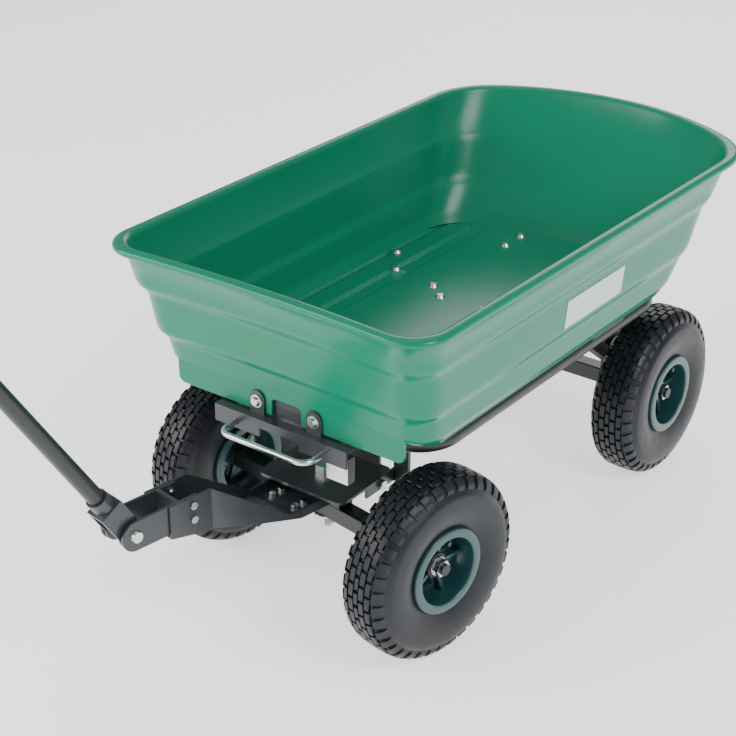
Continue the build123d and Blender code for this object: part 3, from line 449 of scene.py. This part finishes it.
# The rim's parts as (x, radius) sections: barrel with both flanges, hub, and the web's two rings.
RIM_FACE = BEAD_HALF + 6.0
flange = [(RIM_FACE - 9, 46.8), (RIM_FACE - 1.2, 47.0), (RIM_FACE, 48.4), (RIM_FACE, 57.5),
          (RIM_FACE - 0.6, 59.3), (RIM_FACE - 2.0, 60.0), (BEAD_HALF + 0.2, 60.0), (BEAD_HALF, 51.2)]
RIM_SECTIONS = (
    flange + [(-x, r) for x, r in reversed(flange)],
    [(-14, 13.2), (-14, 16.2), (-13.2, 17.0), (13.2, 17.0), (14, 16.2), (14, 13.2)],
    [(-2.5, 17), (-2.5, 24.5), (-1.5, 25.5), (1.5, 25.5), (2.5, 24.5), (2.5, 17)],
    [(-2.5, 47.2), (-2.5, 39.5), (-1.5, 38.5), (1.5, 38.5), (2.5, 39.5), (2.5, 47.2)],
)
RIM_BEVEL = 0.0008

# Each spoke is a deep rib on a flat strap, given by its lowest and highest corners.
SPOKES = 5
SPOKE_BOXES = (
    ((-9.0, 15.5, -2.6), (13.5, 47.4, 2.6)),
    ((-3.0, 17.0, -6.5), (3.0, 47.4, 6.5)),
)


def add_box(points, faces, low, high, turn):
    """A box turned about the axle."""
    start = len(points)
    spin = Matrix.Rotation(turn, 3, "X")
    for x in (low[0], high[0]):
        for y in (low[1], high[1]):
            for z in (low[2], high[2]):
                points.append(tuple(spin @ Vector((x, y, z))))
    for quad in ((0, 1, 3, 2), (4, 6, 7, 5), (0, 4, 5, 1), (2, 3, 7, 6), (0, 2, 6, 4), (1, 5, 7, 3)):
        faces.append(tuple(start + i for i in quad))


rim_points, rim_faces = [], []
for section in RIM_SECTIONS:
    lathe(rim_points, rim_faces, section, RIM_SEGMENTS)
for k in range(SPOKES):
    for low, high in SPOKE_BOXES:
        add_box(rim_points, rim_faces, low, high, 2 * math.pi * k / SPOKES)

# Each wheel stands where the record puts its axle, with X turned outward.
wheel_places = {}
for joint in frame["record"]["behaviour"]["joints"]:
    if joint["name"].endswith("_roll"):
        outward = Vector(joint["axis"])
        if "right" in joint["name"]:
            outward = -outward
        up = Vector((0, 0, 1))
        across = up.cross(outward)
        turn = Matrix((outward, across, up)).transposed().to_4x4()
        wheel_places[joint["child"]] = Matrix.Translation(Vector(joint["pos_m"]) * PER_METRE) @ turn

for wheel in WHEELS:
    body = f"{wheel}_wheel"
    place = wheel_places[body]
    placed_tyre = [place @ Vector(p) for p in tyre_points]
    tyre = new_piece(f"{wheel}_tyre_treaded", placed_tyre, tyre_faces, tyre_rubber, body)
    tyre.modifiers.new("soft_edges", "EDGE_SPLIT").split_angle = math.radians(38)
    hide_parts(f"{wheel}_tyre")
    placed_rim = [place @ Vector(p) for p in rim_points]
    rim = new_piece(f"{wheel}_rim_spoked", placed_rim, rim_faces, rim_teal, body)
    bevel = rim.modifiers.new("rounded", "BEVEL")
    bevel.width = RIM_BEVEL
    bevel.segments = 2
    bevel.limit_method = "ANGLE"
    rim.modifiers.new("soft_edges", "EDGE_SPLIT").split_angle = math.radians(40)
    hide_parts(f"{wheel}_rim")

# ---- studio -----------------------------------------------------------------------------------
CAMERA_PLACE = (1.26239, -1.57094, 1.37413)
CAMERA_YAW, CAMERA_PITCH = 37.15, 27.26
CAMERA_LENS, CAMERA_SENSOR = 84.948, 36
camera = bpy.data.objects.new("camera", bpy.data.cameras.new("camera"))
camera.location = CAMERA_PLACE
camera.rotation_euler = (math.radians(90 - CAMERA_PITCH), 0, math.radians(CAMERA_YAW))
camera.data.lens = CAMERA_LENS
camera.data.sensor_width = CAMERA_SENSOR
bpy.context.scene.collection.objects.link(camera)
bpy.context.scene.camera = camera

studio_floor = finish("studio_floor", (0.92, 0.92, 0.92), 0.85, mottle=0.01, mottle_scale=2, grain=0.02)
# The floor glows a little, so that it reads as white paper.
floor_shader = studio_floor.node_tree.nodes["Principled BSDF"]
floor_shader.inputs["Emission Color"].default_value = (1, 1, 1, 1)
floor_shader.inputs["Emission Strength"].default_value = 1.0
STAGE_REACH = 60000
floor_corners = [(x * STAGE_REACH, y * STAGE_REACH, 0) for x, y in ((-1, -1), (1, -1), (1, 1), (-1, 1))]
ground = new_piece("ground", floor_corners, [(0, 1, 2, 3)], studio_floor, None)


def softbox(name, place, target, size, power):
    """An area lamp at place, in metres, turned towards target."""
    lamp = bpy.data.lights.new(name, "AREA")
    lamp.shape = "RECTANGLE"
    lamp.size, lamp.size_y = size
    lamp.energy = power
    made = bpy.data.objects.new(name, lamp)
    made.location = place
    made.rotation_euler = (Vector(target) - Vector(place)).to_track_quat("-Z", "Y").to_euler()
    bpy.context.scene.collection.objects.link(made)


softbox("key_right", (2.6, -0.3, 2.4), (0.0, 0.3, 0.3), (1.2, 1.6), 62)
softbox("front_fill", (-0.8, -3.2, 1.6), (0, 0.2, 0.3), (2.4, 1.8), 45)
softbox("window_left", (-1.9, -1.7, 1.25), (0.05, 0.6, 0.42), (1.5, 1.1), 42)
softbox("top", (-0.4, 0.8, 3.2), (0, 0.3, 0.3), (2.4, 2.4), 14)
softbox("rear", (-1.2, 3.2, 1.9), (0.1, 0.6, 0.4), (2.0, 1.4), 25)

world = bpy.data.worlds.new("studio")
world.use_nodes = True
world.node_tree.nodes["Background"].inputs["Color"].default_value = (1, 1, 1, 1)
world.node_tree.nodes["Background"].inputs["Strength"].default_value = 0.45
bpy.context.scene.world = world
